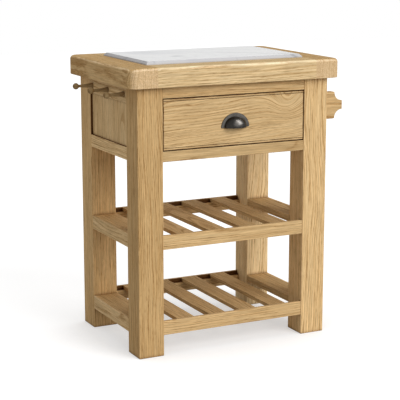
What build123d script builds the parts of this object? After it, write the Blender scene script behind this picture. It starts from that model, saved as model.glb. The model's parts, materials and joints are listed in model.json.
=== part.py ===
from build123d import *
import os

# Kitchen island: four square legs, a framed worktop with a stone inset, one
# drawer, two slatted shelves, three pegs on the left and a towel rail on the
# right. Millimetres, +Z up, +Y to the back. The origin lies on the floor,
# midway between the four legs.

os.makedirs("parts", exist_ok=True)

# Worktop
top_width = 720.0
top_depth = 500.0
top_thickness = 60.0
underside_height = 830.0
side_overhang = 33.0
front_overhang = 26.0
side_member_width = 90.0
cross_member_width = 84.0
corner_radius = 30.0
top_edge_radius = 12.0
bottom_edge_radius = 2.0
worktop_tenon_length = 25.0
worktop_tenon_width = 50.0
worktop_tenon_thickness = 18.0
worktop_tenon_height = 10.0

# Stone inset and the board it lies on
stone_thickness = 20.0
stone_proud = 10.0
stone_bevel = 7.0
stone_gap = 1.0
bed_thickness = 15.0
bed_groove_depth = 10.0

# Legs and the joints in them
leg_size = 83.0
leg_ease = 2.0
tenon_length = 30.0
tenon_thickness = 10.0
tenon_shoulder = 5.0
joint_fit = 0.1
tenon_end_room = 1.0

# Rails
rail_thickness = 22.0
rail_ease = 1.5
front_reveal = 2.0
side_reveal = 1.0
front_top_rail_height = 35.0
drawer_opening_height = 159.0
drawer_rail_height = 32.0
side_top_rail_height = 53.0
side_bottom_rail_height = 40.0

# Panels in the sides and the back
panel_thickness = 9.6
panel_groove_depth = 8.0
panel_fit = 0.2
panel_end_room = 1.0

# Shelves
mid_shelf_top = 378.0
low_shelf_top = 109.0
shelf_rail_height = 44.0
shelf_lip = 11.0
shelf_side_lip = 8.0
slat_count = 4
slat_width = 57.0
slat_thickness = 12.0
slat_ease = 1.0
end_board_thickness = 22.0
stub_length = 10.0
stub_width = 40.0
stub_thickness = 8.0
seat_fit = 0.2

# Drawer
drawer_gap = 2.5
drawer_run_clearance = 0.3
drawer_front_thickness = 22.0
drawer_side_thickness = 14.0
drawer_side_headroom = 4.7
drawer_back_thickness = 12.0
drawer_back_inset = 10.0
drawer_back_drop = 8.0
drawer_back_housing = 5.0
drawer_bottom_thickness = 6.0
drawer_bottom_rise = 14.0
drawer_groove_depth = 6.0
bead_inset = 6.8
bead_groove_width = 1.8
bead_groove_depth = 2.4
bead_ease = 1.6

# Dovetails between the drawer front and its sides
tail_count = 3
tail_edge_distance = 12.0
tail_length = 16.0
tail_tip_width = 34.0
tail_slope = 6.0

# Drawer runners and kickers
runner_thickness = 18.0
runner_reach = 28.0
guide_height = 14.0
runner_stub_length = 8.0

# Cup handle, in front of the drawer
cup_width = 97.0
cup_height = 44.5
cup_depth = 25.0
cup_wall = 2.5
cup_rim = 10.5
cup_rim_thickness = 2.5
cup_rim_bevel = 1.2
cup_rim_corner = 3.0
cup_swing_setback = 12.5
cup_post_spacing = 50.0
cup_post_rise = 14.0
cup_post_diameter = 8.0

# Handle screws
handle_screw_diameter = 4.0
handle_screw_head_diameter = 8.0
handle_screw_head_height = 2.5
handle_screw_bite = 7.0
screw_fit = 0.15

# Screws that hold the worktop down
top_screw_diameter = 4.5
top_screw_head_diameter = 9.0
screw_head_angle = 90.0
top_screw_length = 58.0
top_screw_side_leg_distance = 51.0
top_screw_cross_leg_distance = 94.0
top_screw_edge_distance = 17.0

# Pegs on the left side
peg_count = 3
peg_leg_distance = 17.0
peg_drop = 28.0
peg_projection = 66.0
peg_ball_diameter = 20.0
peg_base_diameter = 18.0
peg_neck_diameter = 8.6
peg_taper_bow = 1.2
peg_tenon_diameter = 10.0
peg_tenon_length = 15.0

# Towel rail on the right side
bracket_height = 86.0
bracket_projection = 76.0
bracket_shoulder = 48.0
bracket_shoulder_radius = 4.0
bracket_cove_height = 38.0
bracket_cove_bow = 5.0
bracket_nose_height = 28.0
bracket_thickness = 22.0
bracket_drop = 52.0
bracket_ease = 1.5
rod_diameter = 20.0
rod_set_back = 14.5
rod_socket_depth = 12.0
rod_socket_room = 0.5
dowel_diameter = 8.0
dowel_length = 36.0
dowel_spacing = 50.0

# Worked out from the sizes above
frame_width = top_width - 2 * side_overhang
frame_depth = top_depth - 2 * front_overhang
leg_centre_x = (frame_width - leg_size) / 2
leg_centre_y = (frame_depth - leg_size) / 2
inner_x = frame_width / 2 - leg_size
inner_y = frame_depth / 2 - leg_size
cross_rail_y = frame_depth / 2 - front_reveal - rail_thickness / 2
side_rail_x = frame_width / 2 - side_reveal - rail_thickness / 2
front_face_y = cross_rail_y + rail_thickness / 2
cross_rail_inner_y = cross_rail_y - rail_thickness / 2
side_rail_inner_x = side_rail_x - rail_thickness / 2
worktop_top = underside_height + top_thickness
stone_opening_x = top_width - 2 * side_member_width
stone_opening_y = top_depth - 2 * cross_member_width
stone_top = worktop_top + stone_proud
stone_bottom = stone_top - stone_thickness
opening_top = underside_height - front_top_rail_height
opening_bottom = opening_top - drawer_opening_height
case_bottom = opening_bottom - drawer_rail_height
groove_width = panel_thickness + 2 * panel_fit
slat_gap = (2 * inner_x - slat_count * slat_width) / (slat_count + 1)
drawer_front_x = inner_x - drawer_gap
drawer_side_inner_x = drawer_front_x - drawer_side_thickness
drawer_side_bottom = opening_bottom + drawer_run_clearance
drawer_side_top = opening_top - drawer_side_headroom
drawer_side_height = drawer_side_top - drawer_side_bottom
tail_pitch = (drawer_side_height - 2 * tail_edge_distance - tail_tip_width) / (tail_count - 1)
cup_bottom_height = (opening_bottom + opening_top - cup_height) / 2
drawer_inner_y = front_face_y - drawer_front_thickness
drawer_rear_y = cross_rail_inner_y - drawer_run_clearance
drawer_bottom_low = drawer_side_bottom + drawer_bottom_rise
drawer_bottom_high = drawer_bottom_low + drawer_bottom_thickness
drawer_back_front_y = drawer_rear_y - drawer_back_inset - drawer_back_thickness
towel_rod_x = frame_width / 2 + bracket_projection - rod_set_back
end_board_outer_x = side_rail_x + rail_thickness / 2 - shelf_side_lip - seat_fit
end_board_x = (inner_x + end_board_outer_x) / 2
runner_x = inner_x - runner_reach / 2
runner_middle = opening_bottom - runner_thickness / 2
runner_stub_width = runner_reach - 2 * tenon_shoulder
runner_stub_thickness = runner_thickness - 2 * tenon_shoulder
peg_face_x = -(side_rail_x + rail_thickness / 2)
peg_height = underside_height - peg_drop
peg_pitch = 2 * (inner_y - peg_leg_distance) / (peg_count - 1)
bracket_centre_height = underside_height - bracket_drop - bracket_height / 2
top_screw_side_y = inner_y - top_screw_side_leg_distance
top_screw_cross_x = inner_x - top_screw_cross_leg_distance


def finish(piece, name):
    """Label a finished piece and write its file."""
    piece.part.label = name
    export_step(piece.part, f"parts/{name}.step")


def rail_bottoms():
    """Bottom, height and rebate depth of every rail, by where it runs."""
    shelves = [("mid_shelf", mid_shelf_top), ("low_shelf", low_shelf_top)]
    front = {
        "front_top_rail": (opening_top, front_top_rail_height, 0.0),
        "drawer_rail": (case_bottom, drawer_rail_height, 0.0),
    }
    back = {
        "back_top_rail": (underside_height - side_top_rail_height, side_top_rail_height, 0.0),
        "back_bottom_rail": (case_bottom, side_bottom_rail_height, 0.0),
    }
    side = {
        "top_rail": (underside_height - side_top_rail_height, side_top_rail_height, 0.0),
        "bottom_rail": (case_bottom, side_bottom_rail_height, 0.0),
    }
    for shelf, level in shelves:
        bottom = level - shelf_rail_height
        front[f"{shelf}_front_rail"] = (bottom, shelf_rail_height, slat_thickness)
        back[f"{shelf}_back_rail"] = (bottom, shelf_rail_height, slat_thickness)
        side[shelf] = (bottom, shelf_rail_height, end_board_thickness)
    return front, back, side


front_rails, back_rails, side_rails = rail_bottoms()

# Heights of the two rail edges that a panel's groove is cut in
panel_edges = {
    "top_rail": underside_height - side_top_rail_height,
    "bottom_rail": case_bottom + side_bottom_rail_height,
}


def tenon_span(bottom, height, rebate):
    """Lowest and highest point of a rail's tenon, clear of its rebate."""
    return bottom + tenon_shoulder, bottom + height - tenon_shoulder - rebate


def bracket_dowel_planes(y_side):
    """Planes on the leg's outer face, one for each dowel of a towel bracket."""
    planes = []
    for side in (-1, 1):
        height = bracket_centre_height + side * dowel_spacing / 2
        place = (frame_width / 2, y_side * leg_centre_y, height)
        planes.append(Plane(origin=place, z_dir=(1, 0, 0)))
    return planes


def peg_places():
    """Front-to-back places of the pegs, even about the middle of the rail."""
    first = peg_leg_distance - inner_y
    return [first + peg * peg_pitch for peg in range(peg_count)]


def drill_top_screws(places):
    """Countersunk holes for worktop screws, up through the open part."""
    with Locations(*[Plane(origin=(x, y, opening_top), z_dir=(0, 0, -1)) for x, y in places]):
        CounterSinkHole(
            top_screw_diameter / 2 + screw_fit,
            top_screw_head_diameter / 2 + screw_fit,
            depth=side_top_rail_height,
            counter_sink_angle=screw_head_angle,
        )


# Legs

def cut_mortise(plane, width, height, depth):
    """Cut a pocket into the open part, straight down from a plane on its face."""
    with BuildSketch(plane) as pocket:
        Rectangle(width + 2 * joint_fit, height + 2 * joint_fit)
    extrude(pocket.sketch, amount=-depth, mode=Mode.SUBTRACT)


def make_leg(name, x_side, y_side):
    """One leg: a square post with pockets for the rails and panels it carries."""
    cross_rails = front_rails if y_side < 0 else back_rails
    with BuildPart() as leg:
        with BuildSketch(Plane.XY):
            with Locations((x_side * leg_centre_x, y_side * leg_centre_y)):
                Rectangle(leg_size, leg_size)
        extrude(amount=underside_height)
        fillet(leg.edges().filter_by(Axis.Z), leg_ease)
        chamfer(leg.faces().sort_by(Axis.Z)[0].edges(), leg_ease / 2)
        # Pockets for the rails that run to the neighbour on the left or right
        for bottom, height, rebate in cross_rails.values():
            low, high = tenon_span(bottom, height, rebate)
            face = Plane(
                origin=(x_side * inner_x, y_side * cross_rail_y, (low + high) / 2),
                x_dir=(0, 1, 0),
                z_dir=(-x_side, 0, 0),
            )
            cut_mortise(face, tenon_thickness, high - low, tenon_length + tenon_end_room)
        # Pockets for the rails that run from front to back
        for bottom, height, rebate in side_rails.values():
            low, high = tenon_span(bottom, height, rebate)
            face = Plane(
                origin=(x_side * side_rail_x, y_side * inner_y, (low + high) / 2),
                x_dir=(1, 0, 0),
                z_dir=(0, -y_side, 0),
            )
            cut_mortise(face, tenon_thickness, high - low, tenon_length + tenon_end_room)
        # Grooves for the side panel and, in a back leg, the back panel
        panel_low = panel_edges["bottom_rail"] - panel_groove_depth
        panel_high = panel_edges["top_rail"] + panel_groove_depth
        panel_middle = (panel_low + panel_high) / 2
        side_groove = Plane(
            origin=(x_side * side_rail_x, y_side * inner_y, panel_middle),
            x_dir=(1, 0, 0),
            z_dir=(0, -y_side, 0),
        )
        with BuildSketch(side_groove):
            Rectangle(groove_width, panel_high - panel_low)
        extrude(amount=-panel_groove_depth, mode=Mode.SUBTRACT)
        if y_side > 0:
            back_groove = Plane(
                origin=(x_side * inner_x, cross_rail_y, panel_middle),
                x_dir=(0, 1, 0),
                z_dir=(-x_side, 0, 0),
            )
            with BuildSketch(back_groove):
                Rectangle(groove_width, panel_high - panel_low)
            extrude(amount=-panel_groove_depth, mode=Mode.SUBTRACT)
        # Sockets for the stub ends of the shelf end boards
        for level in (mid_shelf_top, low_shelf_top):
            stub_face = Plane(
                origin=(x_side * end_board_x, y_side * inner_y, level - end_board_thickness / 2),
                x_dir=(1, 0, 0),
                z_dir=(0, -y_side, 0),
            )
            cut_mortise(stub_face, stub_width, stub_thickness, stub_length + tenon_end_room)
        # Holes for the dowels of the towel bracket, on the right side only
        if x_side > 0:
            with Locations(*bracket_dowel_planes(y_side)):
                Hole(dowel_diameter / 2 + joint_fit, depth=dowel_length / 2 + tenon_end_room)
    finish(leg, name)


for leg_name, leg_x_side, leg_y_side in (
    ("leg_front_left", -1, -1),
    ("leg_front_right", 1, -1),
    ("leg_back_left", -1, 1),
    ("leg_back_right", 1, 1),
):
    make_leg(leg_name, leg_x_side, leg_y_side)


# Rails between the legs

def draw_rail_section(section, across, bottom, height, outward, rebate=0.0, lip=0.0):
    """Draw a rail's section in an open sketch, its first axis across the rail."""
    with Locations((across, bottom + height / 2)):
        Rectangle(rail_thickness, height)
    corners = section.vertices().group_by(Axis.X)
    fillet(corners[-1] if outward > 0 else corners[0], rail_ease)
    if rebate:
        rebate_width = rail_thickness - lip
        rebate_across = across - outward * (rail_thickness / 2 - rebate_width / 2)
        with Locations((rebate_across, bottom + height - rebate / 2)):
            Rectangle(rebate_width, rebate, mode=Mode.SUBTRACT)


def cut_panel_groove(plane, across, edge, reach):
    """Cut the groove for a panel along one edge of the open rail, ends included."""
    with BuildSketch(plane) as groove:
        with Locations((across, edge)):
            Rectangle(groove_width, 2 * panel_groove_depth)
    extrude(groove.sketch, amount=reach, both=True, mode=Mode.SUBTRACT)


def make_cross_rail(name, y_side, bottom, height, rebate, groove_edge=None):
    """A rail that runs from left to right between two legs, with its tenons."""
    low, high = tenon_span(bottom, height, rebate)
    across = y_side * cross_rail_y
    with BuildPart() as rail:
        with BuildSketch(Plane.YZ) as section:
            draw_rail_section(section, across, bottom, height, y_side, rebate, shelf_lip)
        extrude(amount=inner_x, both=True)
        with BuildSketch(Plane.YZ):
            with Locations((across, (low + high) / 2)):
                Rectangle(tenon_thickness, high - low)
        extrude(amount=inner_x + tenon_length, both=True)
        if groove_edge:
            cut_panel_groove(Plane.YZ, across, groove_edge, inner_x + tenon_length)
        if name in ("front_top_rail", "back_top_rail"):
            drill_top_screws([(-top_screw_cross_x, across), (top_screw_cross_x, across)])
        if name in ("drawer_rail", "back_bottom_rail"):
            for x_side in (-1, 1):
                pocket = Plane(
                    origin=(x_side * runner_x, y_side * cross_rail_inner_y, runner_middle),
                    x_dir=(1, 0, 0),
                    z_dir=(0, -y_side, 0),
                )
                cut_mortise(
                    pocket, runner_stub_width, runner_stub_thickness,
                    runner_stub_length + tenon_end_room,
                )
    finish(rail, name)


def make_side_rail(name, x_side, bottom, height, rebate, groove_edge=None, peg_holes=False):
    """A rail that runs from front to back between two legs, with its tenons."""
    low, high = tenon_span(bottom, height, rebate)
    across = x_side * side_rail_x
    with BuildPart() as rail:
        with BuildSketch(Plane.XZ) as section:
            draw_rail_section(section, across, bottom, height, x_side, rebate, shelf_side_lip)
        extrude(amount=inner_y, both=True)
        with BuildSketch(Plane.XZ):
            with Locations((across, (low + high) / 2)):
                Rectangle(tenon_thickness, high - low)
        extrude(amount=inner_y + tenon_length, both=True)
        if groove_edge:
            cut_panel_groove(Plane.XZ, across, groove_edge, inner_y + tenon_length)
        if peg_holes:
            for y in peg_places():
                with Locations(Plane(origin=(peg_face_x, y, peg_height), z_dir=(-1, 0, 0))):
                    Hole(peg_tenon_diameter / 2 + joint_fit, depth=peg_tenon_length + tenon_end_room)
    finish(rail, name)


for rail_name, (rail_bottom, rail_height, rail_rebate) in front_rails.items():
    make_cross_rail(rail_name, -1, rail_bottom, rail_height, rail_rebate)

for rail_name, (rail_bottom, rail_height, rail_rebate) in back_rails.items():
    rail_groove = panel_edges.get(rail_name.replace("back_", ""))
    make_cross_rail(rail_name, 1, rail_bottom, rail_height, rail_rebate, rail_groove)

for side_name, side in (("left", -1), ("right", 1)):
    for rail_name, (rail_bottom, rail_height, rail_rebate) in side_rails.items():
        has_pegs = side < 0 and rail_name == "top_rail"
        if has_pegs:
            full_name = "peg_rail"
        elif rail_rebate:
            full_name = f"{rail_name}_{side_name}_rail"
        else:
            full_name = f"{side_name}_{rail_name}"
        rail_groove = panel_edges.get(rail_name)
        make_side_rail(full_name, side, rail_bottom, rail_height, rail_rebate, rail_groove, has_pegs)


# Panels

panel_bottom = panel_edges["bottom_rail"] - panel_groove_depth + panel_end_room
panel_top = panel_edges["top_rail"] + panel_groove_depth - panel_end_room

for side_name, side in (("left", -1), ("right", 1)):
    with BuildPart() as side_panel:
        with BuildSketch(Plane.XY.offset(panel_bottom)):
            with Locations((side * side_rail_x, 0)):
                Rectangle(panel_thickness, 2 * (inner_y + panel_groove_depth - panel_end_room))
        extrude(amount=panel_top - panel_bottom)
    finish(side_panel, f"{side_name}_panel")

with BuildPart() as back_panel:
    with BuildSketch(Plane.XY.offset(panel_bottom)):
        with Locations((0, cross_rail_y)):
            Rectangle(2 * (inner_x + panel_groove_depth - panel_end_room), panel_thickness)
    extrude(amount=panel_top - panel_bottom)
finish(back_panel, "back_panel")


# Worktop frame

bed_groove_low = stone_bottom - bed_thickness
worktop_tenon_low = underside_height + worktop_tenon_height
worktop_tenon_middle = worktop_tenon_low + worktop_tenon_thickness / 2
worktop_cross_y = (top_depth - cross_member_width) / 2

for side_name, side in (("left", -1), ("right", 1)):
    with BuildPart() as worktop_side:
        with BuildSketch(Plane.XY.offset(underside_height)):
            with Locations((side * (top_width - side_member_width) / 2, 0)):
                Rectangle(side_member_width, top_depth)
        extrude(amount=top_thickness)
        uprights = worktop_side.edges().filter_by(Axis.Z).group_by(Axis.X)
        fillet(uprights[-1] if side > 0 else uprights[0], corner_radius)
        rim = worktop_side.faces().sort_by(Axis.Z)[-1].edges()
        rim = rim.filter_by(lambda edge: abs(edge.center().X) > stone_opening_x / 2 + 1)
        fillet(rim, top_edge_radius)
        foot = worktop_side.faces().sort_by(Axis.Z)[0].edges()
        foot = foot.filter_by(lambda edge: abs(edge.center().X) > stone_opening_x / 2 + 1)
        fillet(foot, bottom_edge_radius)
        # Stopped groove for the board under the stone
        with BuildSketch(Plane.XY.offset(bed_groove_low - panel_fit)):
            with Locations((side * stone_opening_x / 2, 0)):
                Rectangle(2 * bed_groove_depth, stone_opening_y + 2 * bed_groove_depth)
        extrude(amount=bed_thickness + 2 * panel_fit, mode=Mode.SUBTRACT)
        # Pockets for the front and back members
        for y_side in (-1, 1):
            pocket = Plane(
                origin=(side * stone_opening_x / 2, y_side * worktop_cross_y, worktop_tenon_middle),
                x_dir=(0, 1, 0),
                z_dir=(-side, 0, 0),
            )
            cut_mortise(
                pocket, worktop_tenon_width, worktop_tenon_thickness,
                worktop_tenon_length + tenon_end_room,
            )
        # Pilot holes for the screws that come up through the kickers
        for y in (-top_screw_side_y, top_screw_side_y):
            with BuildSketch(Plane.XY.offset(underside_height)):
                with Locations((side * (side_rail_inner_x - top_screw_edge_distance), y)):
                    Circle(top_screw_diameter / 2 + screw_fit)
            extrude(amount=top_screw_length - front_top_rail_height + tenon_end_room,
                    mode=Mode.SUBTRACT)
    finish(worktop_side, f"worktop_{side_name}_rail")

for end_name, y_side in (("front", -1), ("back", 1)):
    with BuildPart() as worktop_cross:
        with BuildSketch(Plane.XY.offset(underside_height)):
            with Locations((0, y_side * worktop_cross_y)):
                Rectangle(stone_opening_x, cross_member_width)
        extrude(amount=top_thickness)
        long_edges = worktop_cross.edges().filter_by(Axis.X).group_by(Axis.Y)
        outer_edges = (long_edges[-1] if y_side > 0 else long_edges[0]).sort_by(Axis.Z)
        fillet(outer_edges[-1], top_edge_radius)
        fillet(outer_edges[0], bottom_edge_radius)
        with BuildSketch(Plane.XY.offset(bed_groove_low - panel_fit)):
            with Locations((0, y_side * stone_opening_y / 2)):
                Rectangle(stone_opening_x, 2 * bed_groove_depth)
        extrude(amount=bed_thickness + 2 * panel_fit, mode=Mode.SUBTRACT)
        with BuildSketch(Plane.YZ):
            with Locations((y_side * worktop_cross_y, worktop_tenon_middle)):
                Rectangle(worktop_tenon_width, worktop_tenon_thickness)
        extrude(amount=stone_opening_x / 2 + worktop_tenon_length, both=True)
        for x in (-top_screw_cross_x, top_screw_cross_x):
            with BuildSketch(Plane.XY.offset(underside_height)):
                with Locations((x, y_side * cross_rail_y)):
                    Circle(top_screw_diameter / 2 + screw_fit)
            extrude(amount=top_screw_length - front_top_rail_height + tenon_end_room,
                    mode=Mode.SUBTRACT)
    finish(worktop_cross, f"worktop_{end_name}_rail")

with BuildPart() as stone_bed:
    with BuildSketch(Plane.XY.offset(bed_groove_low)):
        bed_margin = 2 * (bed_groove_depth - panel_end_room)
        Rectangle(stone_opening_x + bed_margin, stone_opening_y + bed_margin)
    extrude(amount=bed_thickness)
finish(stone_bed, "stone_bed")

with BuildPart() as marble_inset:
    with BuildSketch(Plane.XY.offset(stone_bottom)):
        Rectangle(stone_opening_x - 2 * stone_gap, stone_opening_y - 2 * stone_gap)
    extrude(amount=stone_thickness)
    chamfer(marble_inset.faces().sort_by(Axis.Z)[-1].edges(), stone_bevel)
finish(marble_inset, "marble_inset")


# Shelves

def make_shelf(name, level):
    """The slats and end boards of one shelf; its rails are made above."""
    slat_length = 2 * (front_face_y - shelf_lip - seat_fit)
    for slat in range(slat_count):
        slat_x = -inner_x + slat_gap + slat_width / 2 + slat * (slat_width + slat_gap)
        with BuildPart() as slat_piece:
            with BuildSketch(Plane.XY.offset(level - slat_thickness)):
                with Locations((slat_x, 0)):
                    Rectangle(slat_width, slat_length)
            extrude(amount=slat_thickness)
            top_edges = slat_piece.faces().sort_by(Axis.Z)[-1].edges().filter_by(Axis.Y)
            fillet(top_edges, slat_ease)
        finish(slat_piece, f"{name}_slat_{slat + 1}")
    for side_name, side in (("left", -1), ("right", 1)):
        board_width = end_board_outer_x - inner_x
        with BuildPart() as end_board:
            with BuildSketch(Plane.XY.offset(level - end_board_thickness)):
                with Locations((side * end_board_x, 0)):
                    Rectangle(board_width, 2 * (inner_y - seat_fit))
            extrude(amount=end_board_thickness)
            inner_edges = end_board.edges().filter_by(Axis.Y).group_by(Axis.X)
            fillet(inner_edges[0] if side > 0 else inner_edges[-1], slat_ease)
            with BuildSketch(Plane.XZ):
                with Locations((side * end_board_x, level - end_board_thickness / 2)):
                    Rectangle(stub_width, stub_thickness)
            extrude(amount=inner_y + stub_length, both=True)
        finish(end_board, f"{name}_{side_name}_end_board")


make_shelf("mid_shelf", mid_shelf_top)
make_shelf("low_shelf", low_shelf_top)


# Drawer runners below, kickers above

for side_name, side in (("left", -1), ("right", 1)):
    with BuildPart() as runner:
        with BuildSketch(Plane.XY.offset(opening_bottom - runner_thickness)):
            with Locations((side * runner_x, 0)):
                Rectangle(runner_reach - 2 * seat_fit, 2 * (cross_rail_inner_y - seat_fit))
            with Locations((side * (runner_x + side_rail_inner_x) / 2, 0)):
                Rectangle(side_rail_inner_x - runner_x - 2 * seat_fit, 2 * (inner_y - seat_fit))
        extrude(amount=runner_thickness)
        with BuildSketch(Plane.XY.offset(opening_bottom)):
            with Locations((side * (inner_x + side_rail_inner_x) / 2, 0)):
                Rectangle(side_rail_inner_x - inner_x - 2 * seat_fit, 2 * (inner_y - seat_fit))
        extrude(amount=guide_height)
        with BuildSketch(Plane.XZ):
            with Locations((side * runner_x, runner_middle)):
                Rectangle(runner_stub_width, runner_stub_thickness)
        extrude(amount=cross_rail_inner_y + runner_stub_length, both=True)
    finish(runner, f"drawer_runner_{side_name}")

    with BuildPart() as kicker:
        with BuildSketch(Plane.XY.offset(opening_top)):
            with Locations((side * runner_x, 0)):
                Rectangle(runner_reach - 2 * seat_fit, 2 * (cross_rail_inner_y - seat_fit))
            with Locations((side * (runner_x + side_rail_inner_x) / 2, 0)):
                Rectangle(side_rail_inner_x - runner_x - 2 * seat_fit, 2 * (inner_y - seat_fit))
        extrude(amount=front_top_rail_height)
        kicker_screw_x = side * (side_rail_inner_x - top_screw_edge_distance)
        drill_top_screws([(kicker_screw_x, -top_screw_side_y), (kicker_screw_x, top_screw_side_y)])
    finish(kicker, f"drawer_kicker_{side_name}")


# Screws that hold the worktop: one node, eight separate screws

top_screw_places = []
for side in (-1, 1):
    for end in (-1, 1):
        screw_x = side * (side_rail_inner_x - top_screw_edge_distance)
        top_screw_places.append((screw_x, end * top_screw_side_y))
        top_screw_places.append((side * top_screw_cross_x, end * cross_rail_y))

with BuildPart() as top_screws:
    head_height = (top_screw_head_diameter - top_screw_diameter) / 2
    with BuildSketch(Plane.XY.offset(opening_top)):
        with Locations(*top_screw_places):
            Circle(top_screw_diameter / 2)
    extrude(amount=top_screw_length)
    with Locations(*[(x, y, opening_top) for x, y in top_screw_places]):
        Cone(
            top_screw_head_diameter / 2, top_screw_diameter / 2, head_height,
            align=(Align.CENTER, Align.CENTER, Align.MIN),
        )
finish(top_screws, "top_screws")


# Drawer

def draw_tails(fit=0.0):
    """Draw the dovetails of a drawer side in an open sketch on the YZ plane."""
    root_y = -drawer_inner_y
    tip_y = root_y - tail_length - fit
    half_tip = tail_tip_width / 2 + fit
    half_root = half_tip - (tail_length + fit) / tail_slope
    middle = drawer_side_bottom + drawer_side_height / 2
    first = middle - (tail_count - 1) * tail_pitch / 2
    for tail in range(tail_count):
        z = first + tail * tail_pitch
        with BuildLine() as tail_outline:
            Polyline(
                (root_y, z - half_root),
                (tip_y, z - half_tip),
                (tip_y, z + half_tip),
                (root_y, z + half_root),
                close=True,
            )
        make_face(tail_outline.edges())


with BuildPart() as drawer_front:
    with BuildSketch(Plane.XZ.offset(drawer_inner_y)):
        with Locations((0, (opening_bottom + opening_top) / 2)):
            Rectangle(2 * drawer_front_x, drawer_opening_height - 2 * drawer_gap)
    extrude(amount=drawer_front_thickness)
    # A bead along the top and the bottom edge, set off by a narrow groove
    for edge_z, inward in ((opening_top - drawer_gap, -1), (opening_bottom + drawer_gap, 1)):
        with BuildSketch(Plane.YZ):
            with Locations((-front_face_y, edge_z + inward * bead_inset)):
                Rectangle(2 * bead_groove_depth, bead_groove_width)
        extrude(amount=drawer_front_x, both=True, mode=Mode.SUBTRACT)
    # Both edges of each bead are rounded: the outermost two of the long edges on the face
    long_edges = drawer_front.edges().filter_by(Axis.X).group_by(Axis.Y)[0].sort_by(Axis.Z)
    fillet(long_edges[:2] + long_edges[-2:], bead_ease)
    # Sockets for the dovetails
    for side in (-1, 1):
        with BuildSketch(Plane.YZ.offset(side * (drawer_side_inner_x - joint_fit))):
            draw_tails(joint_fit)
        extrude(amount=side * (drawer_side_thickness + joint_fit), mode=Mode.SUBTRACT)
    # Groove for the drawer bottom
    with BuildSketch(Plane.XY.offset(drawer_bottom_low - panel_fit)):
        with Locations((0, -drawer_inner_y)):
            Rectangle(2 * (drawer_side_inner_x + drawer_groove_depth), 2 * drawer_groove_depth)
    extrude(amount=drawer_bottom_thickness + 2 * panel_fit, mode=Mode.SUBTRACT)
    # Holes for the handle screws, with their heads let in from inside
    with BuildSketch(Plane.XZ.offset(drawer_inner_y)):
        with Locations((0, cup_bottom_height + cup_post_rise)):
            with GridLocations(cup_post_spacing, 0, 2, 1):
                Circle(handle_screw_diameter / 2 + screw_fit)
    extrude(amount=drawer_front_thickness, mode=Mode.SUBTRACT)
    with BuildSketch(Plane.XZ.offset(drawer_inner_y)):
        with Locations((0, cup_bottom_height + cup_post_rise)):
            with GridLocations(cup_post_spacing, 0, 2, 1):
                Circle(handle_screw_head_diameter / 2 + screw_fit)
    extrude(amount=handle_screw_head_height, mode=Mode.SUBTRACT)
finish(drawer_front, "drawer_front")

for side_name, side in (("left", -1), ("right", 1)):
    with BuildPart() as drawer_side:
        with BuildSketch(Plane.YZ.offset(side * drawer_side_inner_x)):
            with Locations(((drawer_rear_y - drawer_inner_y) / 2, drawer_side_bottom + drawer_side_height / 2)):
                Rectangle(drawer_rear_y + drawer_inner_y, drawer_side_height)
            draw_tails()
        extrude(amount=side * drawer_side_thickness)
        # Groove for the bottom, from the tail ends to the rear
        with BuildSketch(Plane.XY.offset(drawer_bottom_low - panel_fit)):
            with Locations((side * drawer_side_inner_x, (drawer_rear_y - drawer_inner_y - tail_length) / 2)):
                Rectangle(2 * drawer_groove_depth, drawer_rear_y + drawer_inner_y + tail_length)
        extrude(amount=drawer_bottom_thickness + 2 * panel_fit, mode=Mode.SUBTRACT)
        # Housing for the drawer back
        with BuildSketch(Plane.XY.offset(drawer_bottom_high - panel_fit)):
            with Locations((side * drawer_side_inner_x, drawer_back_front_y + drawer_back_thickness / 2)):
                Rectangle(2 * drawer_back_housing, drawer_back_thickness + 2 * joint_fit)
        extrude(amount=drawer_side_height, mode=Mode.SUBTRACT)
    finish(drawer_side, f"drawer_side_{side_name}")

with BuildPart() as drawer_back:
    with BuildSketch(Plane.XY.offset(drawer_bottom_high + panel_fit)):
        with Locations((0, drawer_back_front_y + drawer_back_thickness / 2)):
            Rectangle(
                2 * (drawer_side_inner_x + drawer_back_housing - joint_fit), drawer_back_thickness
            )
    extrude(amount=drawer_side_top - drawer_back_drop - drawer_bottom_high - panel_fit)
finish(drawer_back, "drawer_back")

with BuildPart() as drawer_bottom:
    bottom_front_y = -(drawer_inner_y + drawer_groove_depth - panel_end_room)
    bottom_rear_y = drawer_rear_y - panel_end_room
    with BuildSketch(Plane.XY.offset(drawer_bottom_low)):
        with Locations((0, (bottom_front_y + bottom_rear_y) / 2)):
            Rectangle(
                2 * (drawer_side_inner_x + drawer_groove_depth - panel_fit),
                bottom_rear_y - bottom_front_y,
            )
    extrude(amount=drawer_bottom_thickness)
finish(drawer_bottom, "drawer_bottom")


# Cup handle: a shell swung about an axis behind the drawer's face

swing_axis = Axis((0, -front_face_y + cup_swing_setback, cup_bottom_height), (1, 0, 0))
dome_half_width = cup_width / 2 - cup_rim


def draw_cup_plan(half_width, depth):
    """Draw the half oval that the shell has at its open lower edge."""
    with BuildLine() as cup_outline:
        EllipticalCenterArc((0, -front_face_y), half_width, depth, start_angle=180, arc_size=180)
        Polyline(
            (half_width, -front_face_y),
            (half_width, -front_face_y + cup_swing_setback),
            (-half_width, -front_face_y + cup_swing_setback),
            (-half_width, -front_face_y),
        )
    make_face(cup_outline.edges())


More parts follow.
